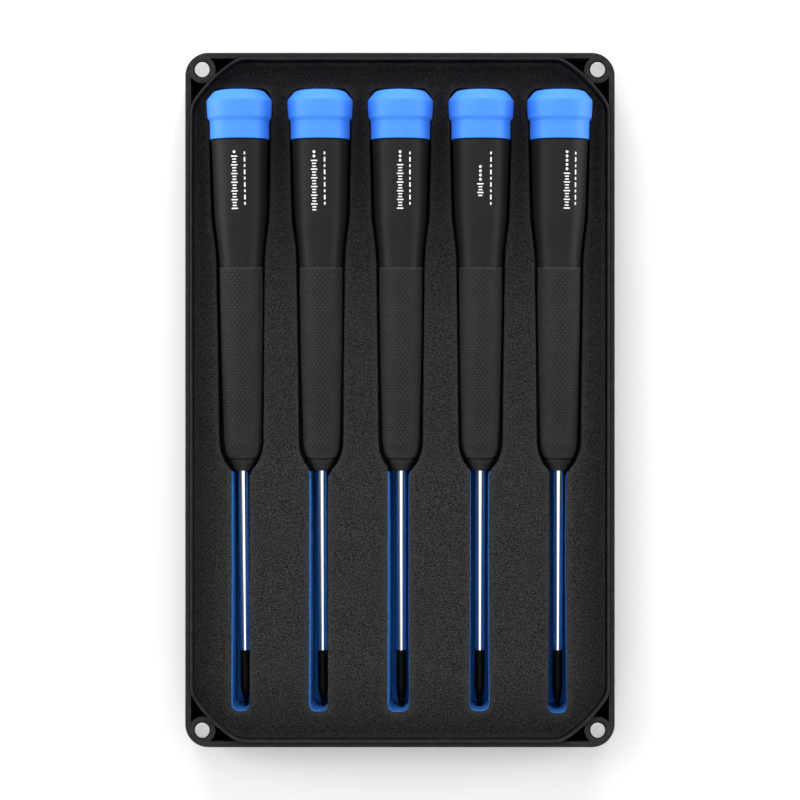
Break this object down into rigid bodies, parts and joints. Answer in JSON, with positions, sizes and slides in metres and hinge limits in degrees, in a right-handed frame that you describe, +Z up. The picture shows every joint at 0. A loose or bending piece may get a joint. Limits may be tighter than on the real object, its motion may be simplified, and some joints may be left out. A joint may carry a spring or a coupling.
{
  "type": "precision screwdriver set",
  "caption": "Precision screwdrivers with free-spinning blue caps, side by side in a foam insert inside a black moulded tray with corner magnets.",
  "frame": {"origin": "centre of the tray's underside", "axes": "+Z up out of the tray, +Y along the drivers towards their caps, +X to the right"},
  "size_m": [0.1174, 0.19, 0.0258],
  "materials": {
    "tray_plastic": "matte",
    "blue_foam": "matte",
    "black_foam": "matte",
    "magnet": "satin",
    "cap_plastic": "satin",
    "steel": "satin",
    "handle_plastic": "satin",
    "grip_rubber": "matte",
    "blade_chrome": "polished"
  },
  "bodies": {
    "case": {"tray": "tray_plastic", "foam_base": "blue_foam", "foam_top": "black_foam", "magnet_1": "magnet", "magnet_2": "magnet", "magnet_3": "magnet", "magnet_4": "magnet"},
    "driver_1": {"handle_core_1": "handle_plastic", "grip_sleeve_1": "grip_rubber", "blade_1": "blade_chrome", "cap_spindle_1": "steel"},
    "turning_cap_1": {"cap_1": "cap_plastic"},
    "driver_2": {"handle_core_2": "handle_plastic", "grip_sleeve_2": "grip_rubber", "blade_2": "blade_chrome", "cap_spindle_2": "steel"},
    "turning_cap_2": {"cap_2": "cap_plastic"},
    "driver_3": {"handle_core_3": "handle_plastic", "grip_sleeve_3": "grip_rubber", "blade_3": "blade_chrome", "cap_spindle_3": "steel"},
    "turning_cap_3": {"cap_3": "cap_plastic"},
    "driver_4": {"handle_core_4": "handle_plastic", "grip_sleeve_4": "grip_rubber", "blade_4": "blade_chrome", "cap_spindle_4": "steel"},
    "turning_cap_4": {"cap_4": "cap_plastic"},
    "driver_5": {"handle_core_5": "handle_plastic", "grip_sleeve_5": "grip_rubber", "blade_5": "blade_chrome", "cap_spindle_5": "steel"},
    "turning_cap_5": {"cap_5": "cap_plastic"}
  },
  "joints": [
    {"name": "lift_driver_1", "type": "slide", "parent": "case", "child": "driver_1", "axis": [0, 0, 1], "range_m": [0, 0.06]},
    {"name": "spin_cap_1", "type": "hinge", "parent": "driver_1", "child": "turning_cap_1", "pos_m": [-0.04395, 0.0851, 0.01707], "axis": [-0.007, 0.9986, 0.0523], "continuous": true},
    {"name": "lift_driver_2", "type": "slide", "parent": "case", "child": "driver_2", "axis": [0, 0, 1], "range_m": [0, 0.06]},
    {"name": "spin_cap_2", "type": "hinge", "parent": "driver_2", "child": "turning_cap_2", "pos_m": [-0.02185, 0.0851, 0.01707], "axis": [-0.0031, 0.9986, 0.0523], "continuous": true},
    {"name": "lift_driver_3", "type": "slide", "parent": "case", "child": "driver_3", "axis": [0, 0, 1], "range_m": [0, 0.06]},
    {"name": "spin_cap_3", "type": "hinge", "parent": "driver_3", "child": "turning_cap_3", "pos_m": [0.0001, 0.0851, 0.01707], "axis": [-0.0017, 0.9986, 0.0523], "continuous": true},
    {"name": "lift_driver_4", "type": "slide", "parent": "case", "child": "driver_4", "axis": [0, 0, 1], "range_m": [0, 0.06]},
    {"name": "spin_cap_4", "type": "hinge", "parent": "driver_4", "child": "turning_cap_4", "pos_m": [0.02215, 0.0851, 0.01707], "axis": [0.0005, 0.9986, 0.0523], "continuous": true},
    {"name": "lift_driver_5", "type": "slide", "parent": "case", "child": "driver_5", "axis": [0, 0, 1], "range_m": [0, 0.06]},
    {"name": "spin_cap_5", "type": "hinge", "parent": "driver_5", "child": "turning_cap_5", "pos_m": [0.04365, 0.0851, 0.01707], "axis": [0, 0.9986, 0.0523], "continuous": true}
  ]
}
